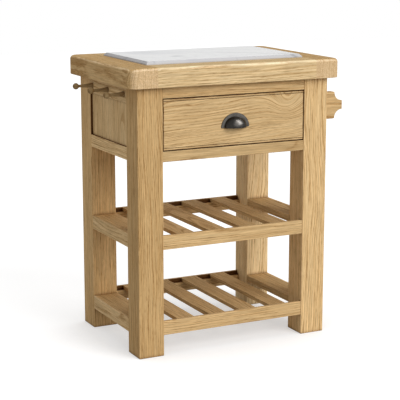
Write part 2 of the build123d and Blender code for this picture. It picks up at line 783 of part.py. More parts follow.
with BuildPart() as cup_handle:
    with BuildSketch(Plane.XZ.offset(front_face_y)) as rim_outline:
        with Locations((0, cup_bottom_height)):
            Ellipse(cup_width / 2, cup_height)
            Rectangle(
                2 * cup_width, 2 * cup_height,
                align=(Align.CENTER, Align.MAX), mode=Mode.SUBTRACT,
            )
        fillet(rim_outline.vertices(), cup_rim_corner)
    extrude(amount=cup_rim_thickness)
    chamfer(cup_handle.faces().sort_by(Axis.Y)[0].edges(), cup_rim_bevel)
    with BuildSketch(Plane.XY.offset(cup_bottom_height)):
        draw_cup_plan(dome_half_width, cup_depth)
    revolve(axis=swing_axis, revolution_arc=-90)
    with BuildSketch(Plane.XY.offset(cup_bottom_height)):
        draw_cup_plan(dome_half_width - cup_wall, cup_depth - cup_wall)
    hollow = revolve(axis=swing_axis, revolution_arc=-90, mode=Mode.PRIVATE)
    # Two posts stay standing in the hollow for the screws
    with BuildSketch(Plane.XZ.offset(front_face_y)):
        with Locations((0, cup_bottom_height + cup_post_rise)):
            with GridLocations(cup_post_spacing, 0, 2, 1):
                Circle(cup_post_diameter / 2)
    posts = extrude(amount=cup_depth, mode=Mode.PRIVATE)
    add(hollow - posts, mode=Mode.SUBTRACT)
    split(bisect_by=Plane.XZ.offset(front_face_y), keep=Keep.TOP)
    with BuildSketch(Plane.XZ.offset(front_face_y)):
        with Locations((0, cup_bottom_height + cup_post_rise)):
            with GridLocations(cup_post_spacing, 0, 2, 1):
                Circle(handle_screw_diameter / 2 + screw_fit)
    extrude(amount=handle_screw_bite, mode=Mode.SUBTRACT)
finish(cup_handle, "cup_handle")

with BuildPart() as handle_screws:
    head_seat = Plane.XZ.offset(drawer_inner_y)
    with BuildSketch(head_seat):
        with Locations((0, cup_bottom_height + cup_post_rise)):
            with GridLocations(cup_post_spacing, 0, 2, 1):
                Circle(handle_screw_head_diameter / 2)
    extrude(amount=handle_screw_head_height)
    with BuildSketch(head_seat):
        with Locations((0, cup_bottom_height + cup_post_rise)):
            with GridLocations(cup_post_spacing, 0, 2, 1):
                Circle(handle_screw_diameter / 2)
    extrude(amount=drawer_front_thickness + handle_screw_bite - tenon_end_room)
finish(handle_screws, "handle_screws")


# Pegs, turned in one piece with a round tenon

ball_radius = peg_ball_diameter / 2
ball_centre = peg_projection - ball_radius
neck_radius = peg_neck_diameter / 2
neck_reach = ball_centre - (ball_radius**2 - neck_radius**2) ** 0.5

for peg, peg_y in enumerate(peg_places()):
    peg_plane = Plane(origin=(peg_face_x, peg_y, peg_height), x_dir=(-1, 0, 0), z_dir=(0, -1, 0))
    with BuildPart() as peg_piece:
        with BuildSketch(peg_plane):
            with BuildLine():
                Polyline(
                    (ball_centre + ball_radius, 0),
                    (-peg_tenon_length, 0),
                    (-peg_tenon_length, peg_tenon_diameter / 2),
                    (0, peg_tenon_diameter / 2),
                    (0, peg_base_diameter / 2),
                )
                ThreePointArc(
                    (0, peg_base_diameter / 2),
                    (neck_reach / 2, (peg_base_diameter / 2 + neck_radius) / 2 - peg_taper_bow),
                    (neck_reach, neck_radius),
                )
                ThreePointArc(
                    (neck_reach, neck_radius),
                    (ball_centre, ball_radius),
                    (ball_centre + ball_radius, 0),
                )
            make_face()
        revolve(axis=Axis(peg_plane.origin, (-1, 0, 0)))
    finish(peg_piece, f"peg_{peg + 1}")


# Towel rail

rod_end_y = leg_centre_y - bracket_thickness / 2 + rod_socket_depth - rod_socket_room

for end_name, y_side in (("front", -1), ("back", 1)):
    inner_face_y = y_side * (leg_centre_y - bracket_thickness / 2)
    outline_plane = Plane(
        origin=(frame_width / 2, inner_face_y, bracket_centre_height),
        x_dir=(1, 0, 0),
        z_dir=(0, -1, 0),
    )
    with BuildPart() as bracket:
        with BuildSketch(outline_plane):
            with BuildLine() as outline:
                cove_start = (bracket_shoulder, bracket_cove_height)
                cove_end = (bracket_projection, bracket_nose_height / 2)
                cove_middle = (
                    (cove_start[0] + cove_end[0]) / 2 - bracket_cove_bow,
                    (cove_start[1] + cove_end[1]) / 2 - bracket_cove_bow,
                )
                Polyline(
                    (0, 0),
                    (0, bracket_height / 2),
                    (bracket_shoulder, bracket_height / 2),
                    cove_start,
                )
                ThreePointArc(cove_start, cove_middle, cove_end)
                Line(cove_end, (bracket_projection, 0))
                mirror(about=Plane.XZ)
            make_face()
        extrude(amount=-y_side * bracket_thickness)
        shoulder_x = frame_width / 2 + bracket_shoulder
        across = bracket.edges().filter_by(Axis.Y)
        shoulders = across.filter_by(lambda edge: abs(edge.center().X - shoulder_x) < bracket_ease)
        shoulders = shoulders.sort_by(Axis.Z)
        fillet([shoulders[0], shoulders[-1]], bracket_shoulder_radius)
        rims = bracket.faces().filter_by(Axis.Y).edges()
        fillet(rims.filter_by(lambda edge: edge.center().X > frame_width / 2), bracket_ease)
        with BuildSketch(outline_plane):
            with Locations((bracket_projection - rod_set_back, 0)):
                Circle(rod_diameter / 2 + joint_fit)
        extrude(amount=-y_side * rod_socket_depth, mode=Mode.SUBTRACT)
        with Locations(*bracket_dowel_planes(y_side)):
            Hole(dowel_diameter / 2 + joint_fit, depth=dowel_length / 2 + tenon_end_room)
    finish(bracket, f"towel_bracket_{end_name}")

with BuildPart() as towel_rod:
    with BuildSketch(Plane.XZ):
        with Locations((towel_rod_x, bracket_centre_height)):
            Circle(rod_diameter / 2)
    extrude(amount=rod_end_y, both=True)
finish(towel_rod, "towel_rod")

with BuildPart() as towel_bracket_dowels:
    for y_side in (-1, 1):
        with Locations(*bracket_dowel_planes(y_side)):
            Cylinder(dowel_diameter / 2, dowel_length)
finish(towel_bracket_dowels, "towel_bracket_dowels")
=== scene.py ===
# %% [markdown]
# # A kitchen island in light oak
# The island is small and stands free: four square legs, a thick framed worktop with a marble
# inset, one drawer with a dark cup handle, two slatted shelves, three turned pegs on the left and
# a towel rail on the right. Every board is already there as a solid of its own, at its real size,
# so this lesson dresses the solids: oak whose rings run through each board, white marble with a
# soft shine, aged bronze, and the light of a plain studio.

# %% Load the solids
import json
import math
import random

import bpy
from mathutils import Euler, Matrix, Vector


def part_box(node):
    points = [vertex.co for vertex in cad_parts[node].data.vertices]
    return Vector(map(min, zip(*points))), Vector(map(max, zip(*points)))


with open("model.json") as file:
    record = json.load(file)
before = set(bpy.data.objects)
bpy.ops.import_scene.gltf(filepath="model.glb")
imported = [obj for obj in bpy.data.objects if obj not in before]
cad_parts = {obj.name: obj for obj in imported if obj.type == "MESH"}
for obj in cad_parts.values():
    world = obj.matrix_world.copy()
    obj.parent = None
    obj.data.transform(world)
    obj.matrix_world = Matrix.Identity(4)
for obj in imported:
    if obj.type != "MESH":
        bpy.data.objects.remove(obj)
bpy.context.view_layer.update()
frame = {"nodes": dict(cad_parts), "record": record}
nodes = frame["nodes"]

# %% [markdown]
# ## Where the camera stands
# A catalogue picture of furniture is taken from eye height, a few metres off, with a long lens, so
# that the front shows wide and the left side narrow. A place, a turn, a tilt and a focal length
# say all of it. They could be tried out by hand, but here they come from matching the corners of
# the real island, so they are plain numbers: the place in millimetres, the angles in radians. A
# shifted lens would keep the uprights exactly parallel. A plain tilt lets them lean together by a
# hair, and in return the island stays in the middle when the camera goes round it.

# %% Set up the camera
MM = 0.001
CAMERA_PLACE = Vector((-1872.1, -3703.0, 1298.5)) * MM
CAMERA_TURN = 0.4663
CAMERA_TILT = 0.2076
PICTURE_WIDTH = 400
FOCAL_SHARE = 1307.6 / PICTURE_WIDTH
SENSOR_WIDTH = 36.0
NEAREST_SEEN = 0.05
FARTHEST_SEEN = 100.0

camera = bpy.data.objects.new("camera", bpy.data.cameras.new("camera"))
bpy.context.scene.collection.objects.link(camera)
camera.location = CAMERA_PLACE
camera.rotation_euler = (math.pi / 2 - CAMERA_TILT, 0.0, -CAMERA_TURN)
camera.data.sensor_width = SENSOR_WIDTH
camera.data.lens = FOCAL_SHARE * SENSOR_WIDTH
camera.data.clip_start = NEAREST_SEEN
camera.data.clip_end = FARTHEST_SEEN
bpy.context.scene.camera = camera
print("lens of", round(camera.data.lens, 1), "mm,", round(CAMERA_PLACE.length, 2), "m from the origin")

# %% [markdown]
# ## A bench for laying out nodes
# Wood, stone and metal are all made the same way: a point on the solid goes into noise textures,
# their values are stretched, limited and mixed, and colour, roughness and bump come out. The nodes
# could be laid out by hand in the editor. In a script a few short helpers keep them readable, so
# that a finish reads like a recipe and not like wiring. The first helpers join nodes and do sums.

# %% Helpers that join nodes and do sums
class Wiring:
    """Adds nodes to a tree and joins them; a value may be a number or another node's socket."""

    def __init__(self, tree):
        self.tree = tree

    def put(self, socket, value):
        if isinstance(value, bpy.types.NodeSocket):
            self.tree.links.new(value, socket)
        elif value is not None:
            socket.default_value = value

    def add(self, kind, inputs=None, **settings):
        node = self.tree.nodes.new("ShaderNode" + kind)
        for key, value in settings.items():
            setattr(node, key, value)
        for key, value in (inputs or {}).items():
            self.put(node.inputs[key], value)
        return node

    def maths(self, operation, first, second=None):
        return self.add("Math", {0: first, 1: second}, operation=operation).outputs[0]

    def times(self, first, second):
        return self.maths("MULTIPLY", first, second)

    def plus(self, first, second):
        return self.maths("ADD", first, second)

    def vector(self, operation, first, second=None):
        node = self.add("VectorMath", {0: first, 1: second}, operation=operation)
        return node.outputs["Value" if operation == "DOT_PRODUCT" else "Vector"]

    def parts(self, vector):
        return self.add("SeparateXYZ", {0: vector}).outputs

    def whole(self, x, y, z):
        return self.add("CombineXYZ", {0: x, 1: y, 2: z}).outputs[0]


print("helpers for sums:", [name for name in vars(Wiring) if not name.startswith("_")])

# %% [markdown]
# ## Patterns and paints
# Few patterns in wood or stone are regular, so noise stands behind nearly all of them. Its waves are
# counted per metre, along each axis if need be, because the solids have their real size. A band says
# where a noise starts to count and where it counts in full, and two more numbers say what comes out at
# those ends. Multiplying a colour by another lays on a stain, as oil or dirt would do, and it lays
# painted shade and painted light too. A Mix node keeps its colour sockets behind those for numbers, so
# they are called by their place.

# %% Helpers for patterns and paints
MIX_AMOUNT, MIX_FIRST, MIX_SECOND = 0, 6, 7
MIXED_COLOUR = 2
NOISE_MIDDLE = 0.5


class Bench(Wiring):
    """The wiring, with the patterns and paints that every finish uses."""

    def noise_node(self, point, waves, detail=2.0, roughness=0.5):
        if isinstance(waves, tuple):
            point = self.vector("MULTIPLY", point, waves)
            waves = 1.0
        inputs = {"Vector": point, "Scale": waves, "Detail": detail, "Roughness": roughness}
        return self.add("TexNoise", inputs)

    def noise(self, point, waves, **settings):
        return self.noise_node(point, waves, **settings).outputs[0]

    def drift(self, point, waves, reach):
        """A push that changes from place to place, by up to half of reach each way."""
        pushes = self.noise_node(point, waves).outputs["Color"]
        pushes = self.vector("SUBTRACT", pushes, (NOISE_MIDDLE,) * 3)
        return self.vector("MULTIPLY", pushes, reach)

    def between(self, value, low, high, start=0.0, end=1.0, smooth=True):
        """From start where the value is low to end where it is high."""
        node = self.add("MapRange", interpolation_type="SMOOTHSTEP" if smooth else "LINEAR")
        for socket, number in zip(node.inputs, (value, low, high, start, end)):
            self.put(socket, number)
        return node.outputs[0]

    def tint(self, amount, first, second, way="MIX"):
        inputs = {MIX_AMOUNT: amount, MIX_FIRST: first, MIX_SECOND: second}
        return self.add("Mix", inputs, data_type="RGBA", blend_type=way).outputs[MIXED_COLOUR]

    def multiply_colour(self, amount, shade, by):
        """The shade times another, as far as the amount says."""
        return self.tint(amount, shade, by, "MULTIPLY")

    def bump(self, height, strength, depth):
        inputs = {"Height": height, "Strength": strength, "Distance": depth}
        return self.add("Bump", inputs).outputs[0]


def colour(red, green, blue):
    return (red, green, blue, 1.0)


print("helpers for finishes:", [name for name in vars(Bench) if not name.startswith("_")])

# %% [markdown]
# ## Oak, one figure for every board
# Oak is a ring-porous wood. Each year starts with a row of wide pores and ends with dense, smooth
# wood, and rays run out from the heart across the rings. A painted stripe can't give all that,
# because the end of a board has to agree with its faces. So the figure is a solid one: the rings
# are cylinders about the heart of the tree, and each board is cut out of them. It is made once, as
# a group of nodes, and the boards share it. A board tells the group where its points lie in the
# trunk, what box it fills, how open each spot is, and its own tones.

# %% Open the oak figure
FIGURE_INPUTS = {
    "Board point": "Vector",
    "Solid point": "Vector",
    "Middle": "Vector",
    "Half size": "Vector",
    "Rounding": "Float",
    "End grain": "Float",
    "Open": "Float",
    "Painted recess shade": "Float",
    "Tone": "Color",
    "End shade": "Color",
    "Edge wear and painted light": "Color",
}
FIGURE_OUTPUTS = {"Colour": "Color", "Roughness": "Float", "Normal": "Vector"}

oak_figure = bpy.data.node_groups.new("oak figure", "ShaderNodeTree")
for way, sockets in (("INPUT", FIGURE_INPUTS), ("OUTPUT", FIGURE_OUTPUTS)):
    for name, kind in sockets.items():
        oak_figure.interface.new_socket(name, in_out=way, socket_type="NodeSocket" + kind)
oak = Bench(oak_figure)
given = oak_figure.nodes.new("NodeGroupInput").outputs
board_point = given["Board point"]
print("oak figure:", len(FIGURE_INPUTS), "inputs and", len(FIGURE_OUTPUTS), "outputs")

# %% [markdown]
# ## A trunk that isn't quite round
# The lines on a real board bend and waver, because no trunk is a true cylinder. They could be
# bent one by one, but then face and end of a board would no longer agree. So the space is bent
# instead: a slow noise pushes each point by centimetres and a quick one by millimetres, and only
# then its distance from the heart is taken.

# %% Bend the trunk and measure from its heart
SLOW_WAVES = (1.6, 5.0, 5.0)
SLOW_REACH = (0.0, 0.045, 0.045)
QUICK_WAVES = (9.0, 24.0, 24.0)
QUICK_REACH = (0.0, 0.0045, 0.0045)

slow_push = oak.drift(board_point, SLOW_WAVES, SLOW_REACH)
quick_push = oak.drift(board_point, QUICK_WAVES, QUICK_REACH)
bent_point = oak.vector("ADD", board_point, oak.vector("ADD", slow_push, quick_push))
along, beside, above = oak.parts(bent_point)
radius = oak.maths("SQRT", oak.plus(oak.times(beside, beside), oak.times(above, above)))
angle = oak.maths("ARCTAN2", above, beside)
for name, reach in (("slow", SLOW_REACH), ("quick", QUICK_REACH)):
    print(name, "bend: up to", round(max(reach) / 2 / MM, 2), "mm each way")

# %% [markdown]
# ## Good and poor years
# A tree grows fast in a good summer and slowly in a dry one, so its rings differ in width, and
# their early wood in darkness. The distance from the heart, divided by a usual ring, counts the
# years, and a noise that depends on the distance alone shifts the count. What is left beside the
# whole years tells how far into its year a spot is, and the early wood comes first.

# %% Count the years
RING = 0.0046
YEAR_WAVES = (0.0, 45.0, 3.0)
YEAR_SHIFT = 4.0
EARLY_BAND = (0.62, 0.10)
YEAR_START = (0.0, 0.06)
DARKNESS_WAVES = (6.0, 190.0, 7.0)
DARKNESS_BAND = (0.36, 0.62, 0.15, 1.0)

ring_point = oak.whole(along, radius, 1.0)
shift = oak.times(oak.noise(ring_point, YEAR_WAVES, detail=3.0), YEAR_SHIFT)
into_year = oak.maths("FRACT", oak.plus(oak.maths("DIVIDE", radius, RING), shift))
early = oak.times(oak.between(into_year, *EARLY_BAND), oak.between(into_year, *YEAR_START))
darkness = oak.noise(ring_point, DARKNESS_WAVES)
early = oak.times(early, oak.between(darkness, *DARKNESS_BAND))
print("a usual ring is", round(RING / MM, 1), "mm wide")

# %% [markdown]
# ## Pores
# The wide pores of oak run along the trunk, so a board shows them as thin dark dashes on its faces
# and as dots at its end. A noise that is stretched along the grain gives both. There are two
# sizes, because the fine pores alone would vanish a few steps away. Most lie in the early wood.

# %% Open the pores
EARLY_ENOUGH = 0.7


def pores_of(waves, detail, band, in_late_wood):
    """Dashes along the grain, in full in the early wood and fainter in the late wood."""
    found = oak.between(oak.noise(board_point, waves, detail=detail), *band)
    return oak.times(found, oak.between(early, 0.0, EARLY_ENOUGH, in_late_wood, 1.0))


pores = pores_of(waves=(58.0, 1300.0, 1300.0), detail=1.0, band=(0.50, 0.64), in_late_wood=0.18)
dashes = pores_of(waves=(20.0, 520.0, 520.0), detail=2.0, band=(0.50, 0.68), in_late_wood=0.25)
print("pores in two sizes:", len(oak_figure.nodes), "nodes so far")

# %% [markdown]
# ## Rays
# Rays run from the heart to the bark. On a face that looks out of the trunk they are short dark
# ticks. On a face that is cut towards the heart they lie flat and show as pale flakes. One noise
# in the trunk's own terms, along it, out from its heart and round it, gives both: its peaks are
# the ticks and its hollows the flakes.

# %% Draw the rays
RAY_WAVES = (38.0, 22.0, 75.0)
TICK_BAND = (0.61, 0.70)
FLAKE_BAND = (0.42, 0.30)

rays = oak.noise(oak.whole(along, radius, angle), RAY_WAVES, detail=1.5)
ticks = oak.between(rays, *TICK_BAND)
flakes = oak.between(rays, *FLAKE_BAND)
print("rays drawn:", len(oak_figure.nodes), "nodes so far")

# %% [markdown]
# ## The ground colour
# Between those marks the wood runs from light straw to a warm brown, in streaks along the grain
# and in slower clouds, and its fibres are by turns a little lighter and darker. The first is a mix
# of two colours. The second is a level near one that multiplies the mix, so it holds for every
# tone of wood.

# %% Colour the ground
BOARD_LIGHT = colour(0.740, 0.520, 0.266)
BOARD_BROWN = colour(0.582, 0.380, 0.172)
STREAK_WAVES = (5.0, 110.0, 110.0)
STREAK_BAND = (0.30, 0.72, 0.0, 0.75)
CLOUD_WAVES = (2.2, 13.0, 13.0)
CLOUD_BAND = (0.3, 0.7, -0.18, 0.22)
FIBRE_WAVES = (14.0, 460.0, 460.0)
FIBRE_BAND = (0.30, 0.70, 0.78, 1.19)

streaks = oak.noise(board_point, STREAK_WAVES, detail=3.0, roughness=0.55)
clouds = oak.noise(board_point, CLOUD_WAVES)
streak_brown = oak.between(streaks, *STREAK_BAND, smooth=False)
cloud_brown = oak.between(clouds, *CLOUD_BAND, smooth=False)
oak_shade = oak.tint(oak.plus(streak_brown, cloud_brown), BOARD_LIGHT, BOARD_BROWN)
fibres = oak.noise(board_point, FIBRE_WAVES, detail=2.5, roughness=0.6)
fibre_level = oak.between(fibres, *FIBRE_BAND, smooth=False)
oak_shade = oak.multiply_colour(1.0, oak_shade, oak.whole(fibre_level, fibre_level, fibre_level))
print("fibres from", FIBRE_BAND[2], "to", FIBRE_BAND[3], "times the ground")

# %% [markdown]
# ## Marks on the ground
# Now the rings, pores and rays go on as stains, each with its own strength, so that the wood under
# them still shows its streaks. The end of a board drinks more oil and takes a shade of its own,
# most often a darker one, and its rings are fainter.

# %% Lay the marks on the ground
RING_SHADE = colour(0.70, 0.60, 0.48)
PORE_SHADE = colour(0.52, 0.41, 0.30)
RAY_SHADE = colour(0.74, 0.66, 0.56)
FLAKE_LIGHT = colour(1.12, 1.13, 1.14)
RING_STRENGTH = 0.80
RING_LOSS_AT_END = 0.45
END_BAND = (0.55, 0.85)
MARKS = (
    (dashes, 0.55, RAY_SHADE),
    (pores, 0.75, PORE_SHADE),
    (ticks, 0.5, RAY_SHADE),
    (flakes, 0.6, FLAKE_LIGHT),
)

at_end = oak.between(given["End grain"], *END_BAND)
ring_strength = oak.maths("SUBTRACT", RING_STRENGTH, oak.times(at_end, RING_LOSS_AT_END))
oak_shade = oak.multiply_colour(oak.times(early, ring_strength), oak_shade, RING_SHADE)
for mark, strength, stain_shade in MARKS:
    oak_shade = oak.multiply_colour(oak.times(mark, strength), oak_shade, stain_shade)
oak_shade = oak.multiply_colour(at_end, oak_shade, given["End shade"])
print("stains laid:", len(MARKS) + 2)

# %% [markdown]
# ## Worn edges and painted edge light
# Hands and cloths polish the edges of a board until they turn paler. On the worktop the pale band is
# partly wear and partly a painted highlight, and on the drawer front the same band is painted shade. A
# worn edge could be painted along each edge by hand. Here every point finds its edge alone: an edge is
# where two faces are near, so the second smallest of its distances to the faces of the box is small. A
# noise leaves some spots less marked. The board's own tone follows, and a limit keeps even the palest
# wood below white.

# %% Rub the edges and paint edge light
EDGE_REACH = 0.0027
ROUNDING_SHARE = 0.9
EDGE_PATCH_WAVES = 38.0
EDGE_PATCH_BAND = (0.35, 0.62, 0.55, 1.0)
PALEST = colour(0.95, 0.95, 0.95)

off_middle = oak.vector("SUBTRACT", given["Solid point"], given["Middle"])
to_faces = oak.vector("SUBTRACT", given["Half size"], oak.vector("ABSOLUTE", off_middle))
to_x, to_y, to_z = oak.parts(to_faces)
nearer = oak.maths("MINIMUM", to_x, to_y)
farther = oak.maths("MAXIMUM", to_x, to_y)
to_edge = oak.maths("MAXIMUM", nearer, oak.maths("MINIMUM", farther, to_z))
past_rounding = oak.maths("SUBTRACT", to_edge, given["Rounding"])
edge_band_reach = oak.plus(EDGE_REACH, oak.times(given["Rounding"], ROUNDING_SHARE))
edge_patches = oak.noise(given["Solid point"], EDGE_PATCH_WAVES, detail=3.0)
# The same band is wear on most boards, a painted highlight on the worktop and painted shade on the
# drawer front.
edge_wear_and_paint = oak.times(oak.between(past_rounding, edge_band_reach, 0.0), oak.between(edge_patches, *EDGE_PATCH_BAND))
oak_shade = oak.multiply_colour(edge_wear_and_paint, oak_shade, given["Edge wear and painted light"])
oak_shade = oak.multiply_colour(1.0, oak_shade, given["Tone"])
oak_shade = oak.tint(1.0, oak_shade, PALEST, "DARKEN")
print("edges rubbed over", round(EDGE_REACH / MM, 1), "mm")

# %% [markdown]
# ## Painted shade in corners
# Where boards meet and in narrow slots, light alone doesn't darken the wood enough, so shade is
# painted into its colour. The figure is told how open a spot is, and darkens it where the air gets
# tight: softly in a corner, deeply in a slot.

# %% Paint shade into the corners
CORNER_PAINTED_SHADE = colour(0.38, 0.29, 0.21)
CORNER_BAND = (0.92, 0.30)
CORNER_STRENGTH = 0.9
SLOT_PAINTED_SHADE = colour(0.22, 0.14, 0.09)
SLOT_BAND = (0.48, 0.20)

# Painted shade: corners and slots are darkened by how little air is free round them.
corner_shade_amount = oak.times(oak.between(given["Open"], *CORNER_BAND), CORNER_STRENGTH)
oak_shade = oak.multiply_colour(corner_shade_amount, oak_shade, CORNER_PAINTED_SHADE)
slot_and_recess_shade = oak.maths("MAXIMUM", oak.between(given["Open"], *SLOT_BAND), given["Painted recess shade"])
oak_shade = oak.multiply_colour(slot_and_recess_shade, oak_shade, SLOT_PAINTED_SHADE)
print("corners and slots stained:", len(oak_figure.nodes), "nodes so far")

# %% [markdown]
# ## Oil on the surface
# Oiled oak has a low sheen. It is duller over pores and at the ends of a board, and smoother where
# hands have rubbed it. Pores are also sunk, some tenths of a millimetre at most. That is far too
# fine for a mesh, so a bump tilts the light there instead.

# %% Close the oak figure
OILED_ROUGHNESS = 0.66
ROUGHER_BY = ((pores, 0.16), (at_end, 0.14), (edge_wear_and_paint, -0.10))
STREAK_ROUGHNESS = (0.3, 0.7, -0.03, 0.05)
SUNK_BY = ((pores, 0.7), (dashes, 0.25), (early, 0.15))
PORE_DEPTH = 0.0004
PORE_BUMP = 0.35

oak_rough = OILED_ROUGHNESS
for mark, change in ROUGHER_BY:
    oak_rough = oak.plus(oak_rough, oak.times(mark, change))
oak_rough = oak.plus(oak_rough, oak.between(streaks, *STREAK_ROUGHNESS, smooth=False))
sunk = 0.0
for mark, share in SUNK_BY:
    sunk = oak.plus(sunk, oak.times(mark, share))
figure_out = oak_figure.nodes.new("NodeGroupOutput").inputs
oak.put(figure_out["Colour"], oak_shade)
oak.put(figure_out["Roughness"], oak_rough)
oak.put(figure_out["Normal"], oak.bump(oak.maths("SUBTRACT", 1.0, sunk), PORE_BUMP, PORE_DEPTH))
print("oak figure closed with", len(oak_figure.nodes), "nodes")

# %% [markdown]
# ## A material for each solid
# No two boards match, so a single wood material would look printed. Each board gets a small
# material of its own, and what all have in common stays in the figure. Stone and metals start in
# the same way, from an empty tree with one shader.

# %% Start a material and put it on a solid
dressed = set()


def empty_material(name):
    material = bpy.data.materials.new(name)
    material.use_nodes = True
    material.node_tree.nodes.clear()
    return material, Bench(material.node_tree)


def new_material(name):
    """A material with one shader, whose colour, roughness and bump can be laid out on its bench."""
    material, b = empty_material(name)
    shader = b.add("BsdfPrincipled")
    b.put(b.add("OutputMaterial").inputs["Surface"], shader.outputs[0])
    return material, b, shader


def dress(node, material):
    nodes[node].data.materials.clear()
    nodes[node].data.materials.append(material)
    dressed.add(node)


print("solids to dress:", len(nodes) - len(dressed))

# %% [markdown]
# ## Painted shade in the recesses
# The panels lie deeper than the boards round them. The narrow walls of such a recess lie in shade, and
# that shade is painted into their colour. They could be picked face by face. But a recess is a box of
# air, and its box follows from the boards that frame it, so nothing has to be picked or measured by
# hand.

# %% Find the recesses of the panels
RECESS_REACH = 0.05
PANEL_FRAMES = {
    "left_panel": ("left_bottom_rail", "peg_rail", "leg_front_left", "leg_back_left"),
    "right_panel": ("right_bottom_rail", "right_top_rail", "leg_front_right", "leg_back_right"),
    "back_panel": ("back_bottom_rail", "back_top_rail", "leg_back_left", "leg_back_right"),
}


def panel_recess(panel, below, above, sides):
    """The box of air in front of a panel, between the boards that frame it."""
    low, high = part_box(panel)
    low.z, high.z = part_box(below)[1].z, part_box(above)[0].z
    edges = [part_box(side) for side in sides]
    across, through = ("x", 1) if high.x - low.x > high.y - low.y else ("y", 0)
    setattr(low, across, min(getattr(box[1], across) for box in edges))
    setattr(high, across, max(getattr(box[0], across) for box in edges))
    outward = 1 if low[through] + high[through] > 0 else -1
    face = high[through] if outward > 0 else low[through]
    low[through], high[through] = sorted((face, face + outward * RECESS_REACH))
    return low, high


recesses = {}
for panel, (rail_below, rail_above, *legs) in PANEL_FRAMES.items():
    recess = panel_recess(panel, rail_below, rail_above, legs)
    for board in (rail_below, rail_above, *legs):
        recesses.setdefault(board, recess)
print("boards round a panel:", len(recesses))

# %% [markdown]
# ## Rebates of the shelves
# The slats rest in rebates along the front and back rails of a shelf, and between two slats the shaded
# rebate is painted as a dark notch. It is a recess too. Its box is the box of all the slats, drawn out
# to the ends of the rail, and a little higher than they are, so that the painted shade reaches the
# edge.

# %% Find the rebates of the shelves
SHELVES = ("mid_shelf", "low_shelf")
SLATS = [f"slat_{number}" for number in range(1, 5)]
REBATE_RISE = 0.001


def joint_box(names):
    """The box round several solids, as two corners."""
    boxes = [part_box(name) for name in names]
    low = Vector([min(box[0][axis] for box in boxes) for axis in range(3)])
    high = Vector([max(box[1][axis] for box in boxes) for axis in range(3)])
    return low, high


for shelf in SHELVES:
    rebate_low, rebate_high = joint_box([f"{shelf}_{slat}" for slat in SLATS])
    rail_low, rail_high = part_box(f"{shelf}_back_rail")
    rebate_low.x, rebate_high.x = rail_low.x, rail_high.x
    rebate_high.z += REBATE_RISE
    for side in ("front", "back"):
        recesses[f"{shelf}_{side}_rail"] = (rebate_low, rebate_high)
print("boards with a recess:", len(recesses))

# %% [markdown]
# ## Painted shade by place
# The walls of a recess are found by their distance to its box of air. Corners are found by a short
# ambient occlusion, which asks how much of the space round a spot is free. Both get painted shade. An
# exported model keeps what was found with the drawer closed. So the drawer's boards ask only about
# themselves, or its sides would stay dark when it is pulled out. Its front also asks about the boards
# next to it, up to a limit, because the gap round a closed drawer lies in shade, and that shade is
# painted in.

# %% Find the walls and corners for painted shade
WALL_BAND = (-0.0008, -0.0002)
CREVICE_REACH = 0.016
CREVICE_RAYS = 8
GAP_LIMIT = 0.45
DRAWER_SOLIDS = frame["record"]["behaviour"]["bodies"]["drawer"]


# Painted shade on the narrow walls of a recess.
def recess_shade_in(b, point, node):
    """One on the narrow walls of the board's recess, nothing elsewhere."""
    if node not in recesses:
        return 0.0
    low, high = recesses[node]
    off = b.vector("ABSOLUTE", b.vector("SUBTRACT", point, (low + high) / 2))
    x, y, z = b.parts(b.vector("SUBTRACT", (high - low) / 2, off))
    return b.between(b.maths("MINIMUM", b.maths("MINIMUM", x, y), z), *WALL_BAND)


def free_air(b, only_local):
    """How much of the space close to a spot is free of other wood, or of its own board alone."""
    reach = {"Distance": CREVICE_REACH}
    node = b.add("AmbientOcclusion", reach, samples=CREVICE_RAYS, only_local=only_local)
    return node.outputs["AO"]


def openness(b, node):
    """One in the open and less in a corner."""
    corner = free_air(b, node in DRAWER_SOLIDS)
    # The drawer front also paints in the shade of the gap round it, up to a limit.
    if node == "drawer_front":
        corner = b.maths("MINIMUM", corner, b.maths("MAXIMUM", free_air(b, False), GAP_LIMIT))
    return corner


print("solids of the drawer:", len(DRAWER_SOLIDS))

# %% [markdown]
# ## Cutting a board out of the tree
# A maker chooses where in the trunk each board comes from. A face that looks at the heart shows
# tall arches, one at a slant to it shows straight lines. So a board gets a grain direction, and a
# place beside the heart in metres. A small slope turns the grain a little out of true. Near a knot
# the lines make way. For that the points about it are pushed aside by a bell, which falls off with
# the distance, as the wood grew round the knot in just that manner.

# %% Place a board in the trunk
TURNS = {"x": (0.0, 0.0, 0.0), "y": (0.0, 0.0, -math.pi / 2), "z": (0.0, math.pi / 2, 0.0)}


def in_the_trunk(b, node, point, grain, heart, slide, slope):
    """The point as the trunk sees it: along it first, then beside and above its heart."""
    turn = Euler(TURNS[grain])
    turn.y += slope
    centre = sum(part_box(node), Vector()) / 2
    shift = Vector((slide, *heart)) - turn.to_matrix() @ centre
    return b.add("Mapping", {"Vector": point, "Location": shift, "Rotation": turn}).outputs[0]


def round_the_knot(b, point, knot):
    """Pushes the lines aside at a knot, given by its place, its reach and the push in metres."""
    place, reach, push = knot
    away = b.vector("SUBTRACT", point, place)
    fall = b.maths("DIVIDE", b.vector("DOT_PRODUCT", away, away), -reach ** 2)
    bell = b.maths("POWER", math.e, fall)
    return b.vector("ADD", point, b.whole(0.0, 0.0, b.times(bell, push)))


print("grain can run along", list(TURNS))

# %% [markdown]
# ## Oak on one solid
# Now the parts come together. A board names its grain and its place in the trunk, and may set its
# tone, its warmth and its shades. Its own box finds the edges for wear and painted light, unless it
# shares the box of a larger piece. The sheen is the same all over, so it is set on the shader itself,
# and it is low, because oil is no varnish.

